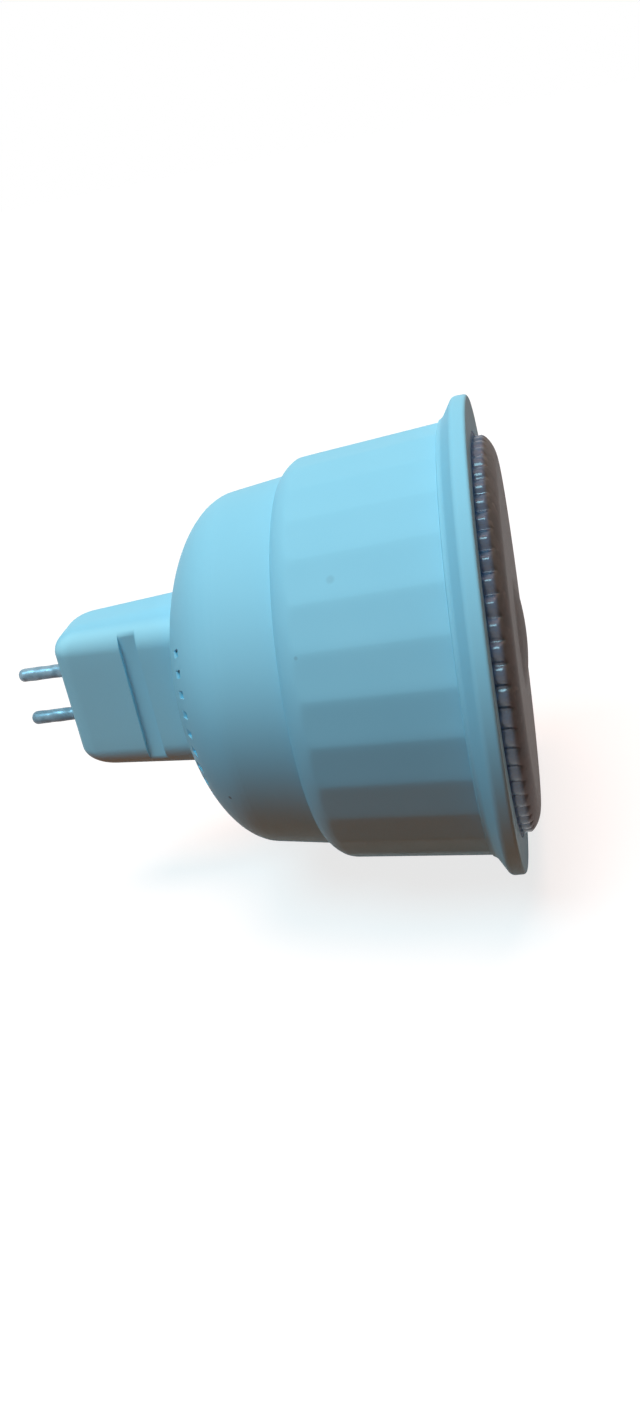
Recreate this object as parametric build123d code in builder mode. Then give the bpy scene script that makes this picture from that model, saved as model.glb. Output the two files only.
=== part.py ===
from build123d import *
import os
from math import atan2, cos, degrees, hypot, radians, sin, sqrt, tan

# Spotlight bulb with two pins. Millimetres and degrees.
# X is the lamp's axis: X = 0 is the base's pin face, the pins point to -X and the lens to +X.
# The pins stand apart along Z, and the wide faces of the base look along Y.

# Contact pins
PIN_DIAMETER = 1.5
PIN_SPACING = 5.33
PIN_LENGTH = 5.9
PIN_TIP_ROUND = 0.65
PIN_SHANK_DIAMETER = 1.9
PIN_TAIL = 3.2
PIN_TAIL_DIAMETER = 1.2
PIN_COLLAR_DIAMETER = 2.4
PIN_COLLAR_THICKNESS = 0.6
PIN_FIT = 0.02

# Base block, measured at its pin face and widening towards the bowl
BASE_WIDTH = 16.2
BASE_THICKNESS = 8.4
BASE_CORNER = 2.5
BASE_DRAFT = 4.5
BASE_EDGE_ROUND = 2.0
BASE_REACH = 13.2
BASE_WALL = 1.6
BASE_FLOOR = 2.0
CAVITY_CORNER = 0.6
GROOVE_START = 8.1
GROOVE_WIDTH = 2.0
GROOVE_DEPTH = 0.6
LIP_MARGIN = 0.35
LIP_THICKNESS = 1.2
LIP_FIT = 0.1

# Bowl: half an ellipse that runs on into a cone
BOWL_DEPTH = 9.2
BOWL_LENGTH = 14.6
BOWL_TAPER = 7.6
BOWL_FLOOR = 3.5
BOWL_WALL = 2.0
MOUTH_FIT = 0.06
VENT_COUNT = 9
VENT_PITCH = 7.8
VENT_RING_DIAMETER = 30.0
VENT_LENGTH = 1.2
VENT_WIDTH = 0.8

# Joint between the bowl and the front shell
PARTING_STEP = 0.06
NECK_WALL = 1.25
NECK_LENGTH = 2.2
NECK_CHAMFER = 1.9
SPIGOT_LENGTH = 3.2
SPIGOT_FIT = 0.1
BEAD_HEIGHT = 0.3
BEAD_WIDTH = 0.8
BEAD_SETBACK = 0.6

# Front shell and rim
RIM_DIAMETER = 50.0
RIM_EDGE = 1.5
RIM_FLARE = 1.3
RIM_OVERHANG = 2.1
RIM_LAND = 3.75
RIM_ROUND = 0.35
RIM_BACK_ROUND = 0.7
FLARE_ROUND = 1.1
SHELL_LENGTH = 19.7
SHELL_TAPER = 4.8
SHELL_WALL = 1.5
SHOULDER_LENGTH = 3.2
SHOULDER_DROP = 1.85
FACET_COUNT = 30
FACET_INSET = 0.1
FACET_REAR_RING = 1.3
FACET_FRONT_RING = 3.15
LEDGE_WIDTH = 1.8
LEDGE_THICKNESS = 1.5

# Lens: an elliptical shoulder round a flat front with a low boss, and a ring of ribs inside its foot
LENS_FIT = 0.08
LENS_SEAT_DEPTH = 1.6
LENS_SINK = 0.2
LENS_RISE = 2.35
LENS_SHOULDER = 3.2
LENS_WALL = 1.3
BOSS_DIAMETER = 12.0
BOSS_HEIGHT = 0.7
RIB_COUNT = 60
RIB_HEIGHT = 0.45
RIB_WIDTH = 0.95
RIB_ROOT = 0.3
RIB_RISE = 1.2

# Heat spreader
CUP_FIT = 0.1
CUP_WALL = 1.0
CUP_FLOOR = 1.2
CUP_DEPTH = 12.0
LEAD_HOLE_DIAMETER = 5.6

# Light board with its chips and screws
LED_BOARD_THICKNESS = 1.2
LED_BOARD_FIT = 0.2
LED_LENGTH = 3.5
LED_WIDTH = 2.8
LED_HEIGHT = 0.7
LED_FRAME = 0.45
LED_WINDOW_DEPTH = 0.12
INNER_RING_DIAMETER = 15.0
INNER_RING_COUNT = 6
OUTER_RING_DIAMETER = 28.0
OUTER_RING_COUNT = 12
SCREW_CIRCLE_DIAMETER = 19.0
SCREW_COUNT = 2
SCREW_DIAMETER = 2.0
SCREW_FIT = 0.05
SCREW_REACH = 1.2
SCREW_HEAD_DIAMETER = 3.4
SCREW_HEAD_HEIGHT = 1.1
SCREW_HEAD_ROUND = 0.5
SCREW_SLOT_WIDTH = 0.5
SCREW_SLOT_DEPTH = 0.5

# Driver board: a tongue in the base and a wide part in the bowl
DRIVER_THICKNESS = 1.0
DRIVER_LENGTH = 13.0
DRIVER_WIDTH = 26.0
DRIVER_CORNER = 2.0
TONGUE_FIT = 0.4
SOLDER_GAP = 0.05
PART_SPACE = 1.0

# Driver parts
RECTIFIER_LENGTH = 4.7
RECTIFIER_WIDTH = 3.9
RECTIFIER_HEIGHT = 2.4
RECTIFIER_LEG_PITCH = 2.54
RECTIFIER_LEGS = 2
FUSE_DIAMETER = 2.6
FUSE_LENGTH = 6.5
FUSE_CAP_LENGTH = 1.2
FUSE_CAP_STEP = 0.15
CAN_DIAMETER = 8.0
CAN_HEIGHT = 11.5
CAN_ROUND = 0.5
CAN_CRIMP_DEPTH = 0.35
CAN_CRIMP_WIDTH = 0.9
CAN_CRIMP_HEIGHT = 1.6
CHOKE_DIAMETER = 7.5
CHOKE_HEIGHT = 8.0
CHOKE_FLANGE = 1.2
CHOKE_WINDING_DEPTH = 0.5
FILM_LENGTH = 10.0
FILM_WIDTH = 4.5
FILM_HEIGHT = 7.5
FILM_ROUND = 0.8
CHIP_LENGTH = 4.9
CHIP_WIDTH = 3.9
CHIP_HEIGHT = 1.5
CHIP_LEG_PITCH = 1.27
CHIP_LEGS = 4
LEG_LENGTH = 0.8
LEG_WIDTH = 0.45
LEG_HEIGHT = 0.6
DIODE_LENGTH = 4.3
DIODE_WIDTH = 2.6
DIODE_HEIGHT = 2.2
DIODE_CHAMFER = 0.4
RESISTOR_COUNT = 4
RESISTOR_PITCH = 2.2
RESISTOR_LENGTH = 2.0
RESISTOR_WIDTH = 1.25
RESISTOR_HEIGHT = 0.5

# Wires from the driver board to the light board
LEAD_DIAMETER = 1.0
LEAD_SPACING = 2.6
LEAD_OVERLAP = 3.0
LEAD_BEND = 1.2
LEAD_FOOT = 3.4

# Places along the axis
x_bowl_back = BASE_REACH
x_bowl_centre = x_bowl_back + BOWL_DEPTH
x_bowl_floor = x_bowl_back + BOWL_FLOOR
x_lip_front = x_bowl_floor + LIP_THICKNESS
x_parting = x_bowl_back + BOWL_LENGTH
x_spigot_end = x_parting + SPIGOT_LENGTH
x_neck_end = x_parting + NECK_LENGTH
x_bead = x_parting + BEAD_SETBACK
x_shoulder = x_parting + SHOULDER_LENGTH
x_rim = x_parting + SHELL_LENGTH
x_flare = x_rim - RIM_EDGE - RIM_FLARE
x_facet_rear = x_parting + FACET_REAR_RING
x_facet_front = x_rim - FACET_FRONT_RING
x_seat = x_rim - LENS_SEAT_DEPTH
x_ledge_back = x_seat - LEDGE_THICKNESS
x_cup_floor = x_ledge_back - CUP_FLOOR
x_cup_end = x_ledge_back - CUP_DEPTH
x_led_face = x_ledge_back + LED_BOARD_THICKNESS
x_dome = x_rim - LENS_SINK
x_lens_front = x_dome + LENS_RISE
x_tail_end = BASE_FLOOR + PIN_TAIL
x_tongue = BASE_FLOOR + PIN_COLLAR_THICKNESS + SOLDER_GAP
x_driver_end = x_lip_front + DRIVER_LENGTH

# Radii
pin_radius = PIN_DIAMETER / 2
shank_radius = PIN_SHANK_DIAMETER / 2
tail_radius = PIN_TAIL_DIAMETER / 2
rim_radius = RIM_DIAMETER / 2
seat_radius = rim_radius - RIM_LAND
lens_radius = seat_radius - LENS_FIT
lens_inner_radius = lens_radius - LENS_WALL
lens_flat_radius = lens_radius - LENS_SHOULDER
ledge_radius = seat_radius - LEDGE_WIDTH
shell_slope = tan(radians(SHELL_TAPER))


def shell_radius(x):
    """Outer radius of the front shell's cone."""
    return rim_radius - RIM_OVERHANG - (x_flare - x) * shell_slope


def shell_inner_radius(x):
    """Radius of the cone inside the front shell."""
    return shell_radius(x) - SHELL_WALL / cos(radians(SHELL_TAPER))


neck_radius = shell_radius(x_shoulder) - SHOULDER_DROP
bore_radius = neck_radius - NECK_WALL
spigot_radius = bore_radius - SPIGOT_FIT

# The bowl's cone has this radius at the parting line and touches the ellipse behind it
bowl_rim_radius = neck_radius - PARTING_STEP
bowl_slope = tan(radians(BOWL_TAPER))
cone_radius = bowl_rim_radius - bowl_slope * (x_parting - x_bowl_centre)
bowl_radius = sqrt(cone_radius**2 - (BOWL_DEPTH * bowl_slope) ** 2)
bowl_inner_radius = bowl_radius - BOWL_WALL
touch_angle = degrees(atan2(bowl_radius, BOWL_DEPTH * bowl_slope))
touch_point = (
    x_bowl_centre - BOWL_DEPTH * cos(radians(touch_angle)),
    bowl_radius * sin(radians(touch_angle)),
)

# Base block: growth of each side per millimetre from the pin face
base_slope = tan(radians(BASE_DRAFT))
floor_growth = base_slope * x_bowl_floor
lip_corner = BASE_CORNER + floor_growth
lip_radius = (
    hypot(BASE_WIDTH / 2 - BASE_CORNER, BASE_THICKNESS / 2 - BASE_CORNER)
    + lip_corner
    + LIP_MARGIN
)
bowl_floor_radius = lip_radius + LIP_FIT
cavity_growth = base_slope * BASE_FLOOR
cavity_width = BASE_WIDTH + 2 * cavity_growth - 2 * BASE_WALL
cavity_thickness = BASE_THICKNESS + 2 * cavity_growth - 2 * BASE_WALL
groove_centre = GROOVE_START + GROOVE_WIDTH / 2
groove_floor = BASE_THICKNESS / 2 + base_slope * groove_centre - GROOVE_DEPTH

# The driver board lies on the pins' tails, with one face to -Y and the other to +Y
y_front = tail_radius + SOLDER_GAP
y_back = y_front + DRIVER_THICKNESS
tongue_width = cavity_width - 2 * TONGUE_FIT
board_front = Plane.XZ.offset(-y_front)
board_back = Plane.XZ.offset(-y_back)
lead_radius = LEAD_DIAMETER / 2
lead_clear = LEAD_SPACING / 2 + lead_radius + PART_SPACE / 2

os.makedirs("parts", exist_ok=True)


# Lens: the shell of revolution, then the ribs that stand inwards from its wall
rib_radius = lens_inner_radius + RIB_ROOT
boss_radius = BOSS_DIAMETER / 2
boss_sphere = (boss_radius**2 + BOSS_HEIGHT**2) / (2 * BOSS_HEIGHT)
x_lens_inside = x_lens_front - LENS_WALL
with BuildPart() as lens:
    with BuildSketch():
        with BuildLine():
            EllipticalCenterArc((x_dome, lens_flat_radius), LENS_RISE, LENS_SHOULDER, arc_size=90)
            Line((x_lens_front, lens_flat_radius), (x_lens_front, boss_radius))
            CenterArc(
                (x_lens_front + BOSS_HEIGHT - boss_sphere, 0),
                boss_sphere,
                0,
                degrees(atan2(boss_radius, boss_sphere - BOSS_HEIGHT)),
            )
            Line((x_lens_front + BOSS_HEIGHT, 0), (x_lens_inside, 0))
            Line((x_lens_inside, 0), (x_lens_inside, lens_flat_radius))
            EllipticalCenterArc(
                (x_dome, lens_flat_radius),
                LENS_RISE - LENS_WALL,
                LENS_SHOULDER - LENS_WALL,
                arc_size=90,
            )
            Polyline(
                (x_dome, lens_inner_radius),
                (x_seat, lens_inner_radius),
                (x_seat, lens_radius),
                (x_dome, lens_radius),
            )
        make_face()
    revolve(axis=Axis.X)
    with BuildSketch(Plane.YZ.offset(x_seat)):
        with PolarLocations(rib_radius, RIB_COUNT):
            Polygon(
                (0, -RIB_WIDTH / 2),
                (0, RIB_WIDTH / 2),
                (-RIB_ROOT - RIB_HEIGHT, 0),
                align=None,
            )
    extrude(amount=x_rim + RIB_RISE - x_seat)
lens.part.label = "lens"
export_step(lens.part, "parts/lens.step")


# Front shell: a ring outside a cone of flats cuts the facets from the turned shell
with BuildPart() as facet_cutter:
    with BuildSketch(Plane.YZ.offset(x_facet_rear)):
        Circle(rim_radius)
    extrude(amount=x_facet_front - x_facet_rear)
    with BuildSketch(Plane.YZ.offset(x_facet_rear)):
        RegularPolygon(shell_radius(x_facet_rear) - FACET_INSET, FACET_COUNT)
    with BuildSketch(Plane.YZ.offset(x_facet_front)):
        RegularPolygon(shell_radius(x_facet_front) - FACET_INSET, FACET_COUNT)
    loft(ruled=True, mode=Mode.SUBTRACT)

with BuildPart() as front_shell:
    with BuildSketch() as shell_section:
        with BuildLine():
            TangentArc(
                (x_shoulder, shell_radius(x_shoulder)),
                (x_parting, neck_radius),
                tangent=(-1, -shell_slope),
            )
            Polyline(
                (x_shoulder, shell_radius(x_shoulder)),
                (x_flare, shell_radius(x_flare)),
                (x_rim - RIM_EDGE, rim_radius),
                (x_rim, rim_radius),
                (x_rim, seat_radius),
                (x_seat, seat_radius),
                (x_seat, ledge_radius),
                (x_ledge_back, ledge_radius),
                (x_ledge_back, shell_inner_radius(x_ledge_back)),
                (x_neck_end + NECK_CHAMFER, shell_inner_radius(x_neck_end + NECK_CHAMFER)),
                (x_neck_end, bore_radius),
                (x_bead + BEAD_WIDTH, bore_radius),
                (x_bead + BEAD_WIDTH / 2, bore_radius + BEAD_HEIGHT),
                (x_bead, bore_radius),
                (x_parting, bore_radius),
                (x_parting, neck_radius),
            )
        make_face()
        flare_root = shell_section.vertices().sort_by_distance((x_flare, shell_radius(x_flare)))[0]
        fillet(flare_root, FLARE_ROUND)
        rim_back = shell_section.vertices().sort_by_distance((x_rim - RIM_EDGE, rim_radius))[0]
        fillet(rim_back, RIM_BACK_ROUND)
        rim_front = shell_section.vertices().sort_by_distance((x_rim, rim_radius))[0]
        fillet(rim_front, RIM_ROUND)
    revolve(axis=Axis.X)
    add(facet_cutter.part, mode=Mode.SUBTRACT)
front_shell.part.label = "front_shell"
export_step(front_shell.part, "parts/front_shell.step")


# Rear shell: the bowl with its snap spigot, the mouth for the base and an arc of vents beside each wide face
vent_spread = (VENT_COUNT - 1) * VENT_PITCH
with BuildPart() as rear_shell:
    with BuildSketch():
        with BuildLine():
            EllipticalCenterArc(
                (x_bowl_centre, 0), BOWL_DEPTH, bowl_radius, 180 - touch_angle, arc_size=touch_angle
            )
            Polyline(
                touch_point,
                (x_parting, bowl_rim_radius),
                (x_parting, spigot_radius),
                (x_bead, spigot_radius),
                (x_bead + BEAD_WIDTH / 2, spigot_radius + BEAD_HEIGHT),
                (x_bead + BEAD_WIDTH, spigot_radius),
                (x_spigot_end, spigot_radius),
                (x_spigot_end, bowl_inner_radius),
                (x_bowl_centre, bowl_inner_radius),
            )
            EllipticalCenterArc(
                (x_bowl_centre, bowl_floor_radius),
                x_bowl_centre - x_bowl_floor,
                bowl_inner_radius - bowl_floor_radius,
                90,
                arc_size=90,
            )
            Polyline((x_bowl_floor, bowl_floor_radius), (x_bowl_floor, 0), (x_bowl_back, 0))
        make_face()
    revolve(axis=Axis.X)
    with BuildSketch(Plane.YZ):
        RectangleRounded(
            BASE_THICKNESS + 2 * MOUTH_FIT,
            BASE_WIDTH + 2 * MOUTH_FIT,
            BASE_CORNER + MOUTH_FIT,
        )
    extrude(amount=x_bowl_floor, taper=-BASE_DRAFT, mode=Mode.SUBTRACT)
    with BuildSketch(Plane.YZ.offset(x_bowl_back)):
        for side in (0, 180):
            with PolarLocations(
                VENT_RING_DIAMETER / 2,
                VENT_COUNT,
                side - vent_spread / 2,
                vent_spread,
                endpoint=True,
            ):
                Rectangle(VENT_LENGTH, VENT_WIDTH)
    extrude(amount=BOWL_DEPTH, mode=Mode.SUBTRACT)
rear_shell.part.label = "rear_shell"
export_step(rear_shell.part, "parts/rear_shell.step")


# Pin base: a drafted hollow block with a lip against the bowl's floor and a clip groove on each wide face
with BuildPart() as pin_base:
    with BuildSketch(Plane.YZ):
        RectangleRounded(BASE_THICKNESS, BASE_WIDTH, BASE_CORNER)
    extrude(amount=x_bowl_floor, taper=-BASE_DRAFT)
    fillet(pin_base.faces().sort_by(Axis.X)[0].edges(), BASE_EDGE_ROUND)
    with BuildSketch(Plane.YZ.offset(x_bowl_floor)):
        Circle(lip_radius)
    extrude(amount=LIP_THICKNESS)
    with BuildSketch(Plane.YZ.offset(BASE_FLOOR)):
        RectangleRounded(cavity_thickness, cavity_width, CAVITY_CORNER)
    extrude(amount=x_lip_front - BASE_FLOOR, taper=-BASE_DRAFT, mode=Mode.SUBTRACT)
    with BuildSketch(Plane.XY):
        with GridLocations(0, 2 * groove_floor + BASE_WALL, 1, 2):
            with Locations((groove_centre, 0)):
                Rectangle(GROOVE_WIDTH, BASE_WALL)
    extrude(amount=BASE_WIDTH, both=True, mode=Mode.SUBTRACT)
    with BuildSketch(Plane.YZ):
        with GridLocations(0, PIN_SPACING, 1, 2):
            Circle(shank_radius + PIN_FIT)
    extrude(amount=BASE_FLOOR, mode=Mode.SUBTRACT)
pin_base.part.label = "pin_base"
export_step(pin_base.part, "parts/pin_base.step")


# Contact pins: a round tip, a thicker shank in the base's floor, a collar behind it and a solder tail
for name, side in (("upper", 1), ("lower", -1)):
    with BuildPart() as contact_pin:
        for start, length, radius in (
            (-PIN_LENGTH, PIN_LENGTH, pin_radius),
            (0, BASE_FLOOR, shank_radius),
            (BASE_FLOOR, PIN_COLLAR_THICKNESS, PIN_COLLAR_DIAMETER / 2),
            (BASE_FLOOR, PIN_TAIL, tail_radius),
        ):
            with BuildSketch(Plane.YZ.offset(start)):
                with Locations((0, side * PIN_SPACING / 2)):
                    Circle(radius)
            extrude(amount=length)
        fillet(contact_pin.edges().sort_by(Axis.X)[0], PIN_TIP_ROUND)
    contact_pin.part.label = f"contact_pin_{name}"
    export_step(contact_pin.part, f"parts/contact_pin_{name}.step")


# Heat spreader: an aluminium cup that lines the front shell, with its floor against the ledge
with BuildPart() as heat_spreader:
    cup_front = shell_inner_radius(x_ledge_back) - CUP_FIT
    cup_rear = shell_inner_radius(x_cup_end) - CUP_FIT
    cup_inside = shell_inner_radius(x_cup_floor) - CUP_FIT - CUP_WALL
    with BuildSketch():
        with BuildLine():
            Polyline(
                (x_ledge_back, LEAD_HOLE_DIAMETER / 2),
                (x_ledge_back, cup_front),
                (x_cup_end, cup_rear),
                (x_cup_end, cup_rear - CUP_WALL),
                (x_cup_floor, cup_inside),
                (x_cup_floor, LEAD_HOLE_DIAMETER / 2),
                close=True,
            )
        make_face()
    revolve(axis=Axis.X)
    with BuildSketch(Plane.YZ.offset(x_cup_floor)):
        with PolarLocations(SCREW_CIRCLE_DIAMETER / 2, SCREW_COUNT, 180 / INNER_RING_COUNT):
            Circle(SCREW_DIAMETER / 2 + SCREW_FIT)
    extrude(amount=CUP_FLOOR, mode=Mode.SUBTRACT)
heat_spreader.part.label = "heat_spreader"
export_step(heat_spreader.part, "parts/heat_spreader.step")


# Light board: a disc inside the ledge, with holes for the screws and the wires
with BuildPart() as led_board:
    with BuildSketch(Plane.YZ.offset(x_ledge_back)):
        Circle(ledge_radius - LED_BOARD_FIT)
        Circle(LEAD_HOLE_DIAMETER / 2, mode=Mode.SUBTRACT)
        with PolarLocations(SCREW_CIRCLE_DIAMETER / 2, SCREW_COUNT, 180 / INNER_RING_COUNT):
            Circle(SCREW_DIAMETER / 2 + SCREW_FIT, mode=Mode.SUBTRACT)
    extrude(amount=LED_BOARD_THICKNESS)
led_board.part.label = "led_board"
export_step(led_board.part, "parts/led_board.step")


# Light chips in two rings, each with a sunk window
rings = ((INNER_RING_DIAMETER / 2, INNER_RING_COUNT), (OUTER_RING_DIAMETER / 2, OUTER_RING_COUNT))
with BuildPart() as led_chips:
    with BuildSketch(Plane.YZ.offset(x_led_face)):
        for ring_radius, ring_count in rings:
            with PolarLocations(ring_radius, ring_count):
                Rectangle(LED_WIDTH, LED_LENGTH)
    extrude(amount=LED_HEIGHT)
    with BuildSketch(Plane.YZ.offset(x_led_face + LED_HEIGHT - LED_WINDOW_DEPTH)):
        for ring_radius, ring_count in rings:
            with PolarLocations(ring_radius, ring_count):
                Rectangle(LED_WIDTH - 2 * LED_FRAME, LED_LENGTH - 2 * LED_FRAME)
    extrude(amount=LED_WINDOW_DEPTH, mode=Mode.SUBTRACT)
led_chips.part.label = "led_chips"
export_step(led_chips.part, "parts/led_chips.step")


# Screws that hold the light board to the heat spreader
with BuildPart() as board_screws:
    with BuildSketch(Plane.YZ.offset(x_led_face)):
        with PolarLocations(SCREW_CIRCLE_DIAMETER / 2, SCREW_COUNT, 180 / INNER_RING_COUNT):
            Circle(SCREW_HEAD_DIAMETER / 2)
    extrude(amount=SCREW_HEAD_HEIGHT)
    fillet(board_screws.edges().group_by(Axis.X)[-1], SCREW_HEAD_ROUND)
    with BuildSketch(Plane.YZ.offset(x_led_face)):
        with PolarLocations(SCREW_CIRCLE_DIAMETER / 2, SCREW_COUNT, 180 / INNER_RING_COUNT):
            Circle(SCREW_DIAMETER / 2)
    extrude(amount=-(LED_BOARD_THICKNESS + CUP_FLOOR + SCREW_REACH))
    with BuildSketch(Plane.YZ.offset(x_led_face + SCREW_HEAD_HEIGHT - SCREW_SLOT_DEPTH)):
        with PolarLocations(SCREW_CIRCLE_DIAMETER / 2, SCREW_COUNT, 180 / INNER_RING_COUNT):
            Rectangle(SCREW_SLOT_WIDTH, SCREW_HEAD_DIAMETER)
    extrude(amount=SCREW_SLOT_DEPTH, mode=Mode.SUBTRACT)
board_screws.part.label = "board_screws"
export_step(board_screws.part, "parts/board_screws.step")


# Driver board: its shoulders bear on the lip of the base
with BuildPart() as driver_board:
    with BuildSketch(board_back) as board_outline:
        with BuildLine():
            Polyline(
                (x_tongue, -tongue_width / 2),
                (x_lip_front, -tongue_width / 2),
                (x_lip_front, -DRIVER_WIDTH / 2),
                (x_driver_end, -DRIVER_WIDTH / 2),
                (x_driver_end, DRIVER_WIDTH / 2),
                (x_lip_front, DRIVER_WIDTH / 2),
                (x_lip_front, tongue_width / 2),
                (x_tongue, tongue_width / 2),
                close=True,
            )
        make_face()
        wide_corners = board_outline.vertices().group_by(Axis.Y)
        chamfer(wide_corners[0] + wide_corners[-1], DRIVER_CORNER)
    extrude(amount=DRIVER_THICKNESS)
driver_board.part.label = "driver_board"
export_step(driver_board.part, "parts/driver_board.step")


# Bridge rectifier, in the tongue behind the pins' tails, with two legs at each side
x_rectifier = x_tail_end + PART_SPACE + RECTIFIER_LENGTH / 2
rectifier_reach = RECTIFIER_WIDTH / 2 + LEG_LENGTH
with BuildPart() as bridge_rectifier:
    with BuildSketch(board_front):
        with Locations((x_rectifier, 0)):
            Rectangle(RECTIFIER_LENGTH, RECTIFIER_WIDTH)
    extrude(amount=RECTIFIER_HEIGHT)
    with BuildSketch(board_front):
        with Locations((x_rectifier, 0)):
            with GridLocations(RECTIFIER_LEG_PITCH, RECTIFIER_WIDTH + LEG_LENGTH, RECTIFIER_LEGS, 2):
                Rectangle(LEG_WIDTH, LEG_LENGTH)
    extrude(amount=LEG_HEIGHT)
bridge_rectifier.part.label = "bridge_rectifier"
export_step(bridge_rectifier.part, "parts/bridge_rectifier.step")


# Fuse resistor, lying beside the rectifier on its end caps
fuse_radius = FUSE_DIAMETER / 2
fuse_centre = (y_front - SOLDER_GAP - fuse_radius, rectifier_reach + PART_SPACE / 2 + fuse_radius)
with BuildPart() as fuse_resistor:
    with BuildSketch(Plane.YZ.offset(x_tail_end + PART_SPACE)):
        with Locations(fuse_centre):
            Circle(fuse_radius - FUSE_CAP_STEP)
    extrude(amount=FUSE_LENGTH)
    for start in (0, FUSE_LENGTH - FUSE_CAP_LENGTH):
        with BuildSketch(Plane.YZ.offset(x_tail_end + PART_SPACE + start)):
            with Locations(fuse_centre):
                Circle(fuse_radius)
        extrude(amount=FUSE_CAP_LENGTH)
fuse_resistor.part.label = "fuse_resistor"
export_step(fuse_resistor.part, "parts/fuse_resistor.step")


# Smoothing capacitor: a round can with a crimped groove, standing on the board
can_radius = CAN_DIAMETER / 2
can_centre = (x_lip_front + PART_SPACE + can_radius, -lead_clear - can_radius)
with BuildPart() as smoothing_capacitor:
    with BuildSketch(board_front):
        with Locations(can_centre):
            Circle(can_radius)
    extrude(amount=CAN_HEIGHT)
    fillet(smoothing_capacitor.edges().group_by(Axis.Y)[0], CAN_ROUND)
    with BuildSketch(board_front.offset(CAN_CRIMP_HEIGHT)):
        with Locations(can_centre):
            Circle(can_radius)
            Circle(can_radius - CAN_CRIMP_DEPTH, mode=Mode.SUBTRACT)
    extrude(amount=CAN_CRIMP_WIDTH, mode=Mode.SUBTRACT)
smoothing_capacitor.part.label = "smoothing_capacitor"
export_step(smoothing_capacitor.part, "parts/smoothing_capacitor.step")


# Choke: a drum core with its winding between two flanges
choke_radius = CHOKE_DIAMETER / 2
choke_centre = (x_lip_front + PART_SPACE + choke_radius, lead_clear + choke_radius)
with BuildPart() as choke:
    with BuildSketch(board_front):
        with Locations(choke_centre):
            Circle(choke_radius)
    extrude(amount=CHOKE_HEIGHT)
    with BuildSketch(board_front.offset(CHOKE_FLANGE)):
        with Locations(choke_centre):
            Circle(choke_radius)
            Circle(choke_radius - CHOKE_WINDING_DEPTH, mode=Mode.SUBTRACT)
    extrude(amount=CHOKE_HEIGHT - 2 * CHOKE_FLANGE, mode=Mode.SUBTRACT)
choke.part.label = "choke"
export_step(choke.part, "parts/choke.step")


# Film capacitor, on the board's other face
with BuildPart() as film_capacitor:
    with BuildSketch(board_back):
        with Locations((x_lip_front + PART_SPACE + FILM_LENGTH / 2, -(PART_SPACE + FILM_WIDTH) / 2)):
            Rectangle(FILM_LENGTH, FILM_WIDTH)
    extrude(amount=-FILM_HEIGHT)
    fillet(film_capacitor.edges().filter_by(Axis.Y), FILM_ROUND)
film_capacitor.part.label = "film_capacitor"
export_step(film_capacitor.part, "parts/film_capacitor.step")


# Driver chip beside it, with four legs at each side
chip_reach = CHIP_WIDTH / 2 + LEG_LENGTH
chip_centre = (x_lip_front + PART_SPACE + CHIP_LENGTH / 2, PART_SPACE / 2 + chip_reach)
with BuildPart() as driver_chip:
    with BuildSketch(board_back):
        with Locations(chip_centre):
            Rectangle(CHIP_LENGTH, CHIP_WIDTH)
    extrude(amount=-CHIP_HEIGHT)
    with BuildSketch(board_back):
        with Locations(chip_centre):
            with GridLocations(CHIP_LEG_PITCH, CHIP_WIDTH + LEG_LENGTH, CHIP_LEGS, 2):
                Rectangle(LEG_WIDTH, LEG_LENGTH)
    extrude(amount=-LEG_HEIGHT)
driver_chip.part.label = "driver_chip"
export_step(driver_chip.part, "parts/driver_chip.step")


# Output diode, next along the board from the chip
x_diode = x_lip_front + 2 * PART_SPACE + CHIP_LENGTH + DIODE_WIDTH / 2
with BuildPart() as output_diode:
    with BuildSketch(board_back):
        with Locations((x_diode, PART_SPACE / 2 + DIODE_LENGTH / 2)):
            Rectangle(DIODE_WIDTH, DIODE_LENGTH)
    extrude(amount=-DIODE_HEIGHT)
    chamfer(output_diode.faces().sort_by(Axis.Y)[-1].edges(), DIODE_CHAMFER)
output_diode.part.label = "output_diode"
export_step(output_diode.part, "parts/output_diode.step")


# Chip resistors in a row past the chip's legs
z_resistors = PART_SPACE + 2 * chip_reach + RESISTOR_LENGTH / 2
x_resistors = x_lip_front + DRIVER_CORNER + RESISTOR_COUNT * RESISTOR_PITCH / 2
with BuildPart() as chip_resistors:
    with BuildSketch(board_back):
        with Locations((x_resistors, z_resistors)):
            with GridLocations(RESISTOR_PITCH, 0, RESISTOR_COUNT, 1):
                Rectangle(RESISTOR_WIDTH, RESISTOR_LENGTH)
    extrude(amount=-RESISTOR_HEIGHT)
chip_resistors.part.label = "chip_resistors"
export_step(chip_resistors.part, "parts/chip_resistors.step")


# Wires: soldered on the driver board, through the hole in the cup and bent over on the light board
y_lead = y_front - lead_radius - SOLDER_GAP
x_lead_foot = x_led_face + lead_radius + SOLDER_GAP
for name, side in (("plus", 1), ("minus", -1)):
    with BuildPart() as led_lead:
        with BuildLine() as lead_path:
            FilletPolyline(
                (x_driver_end - LEAD_OVERLAP, y_lead, side * LEAD_SPACING / 2),
                (x_lead_foot, y_lead, side * LEAD_SPACING / 2),
                (x_lead_foot, y_lead, side * (LEAD_SPACING / 2 + LEAD_FOOT)),
                radius=LEAD_BEND,
            )
        with BuildSketch(Plane(origin=lead_path.line @ 0, z_dir=lead_path.line % 0)):
            Circle(lead_radius)
        sweep()
    led_lead.part.label = f"led_lead_{name}"
    export_step(led_lead.part, f"parts/led_lead_{name}.step")
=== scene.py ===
from math import cos, pi, radians, sin, tan

import bpy
import numpy as np
from mathutils import Matrix, Vector


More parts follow.
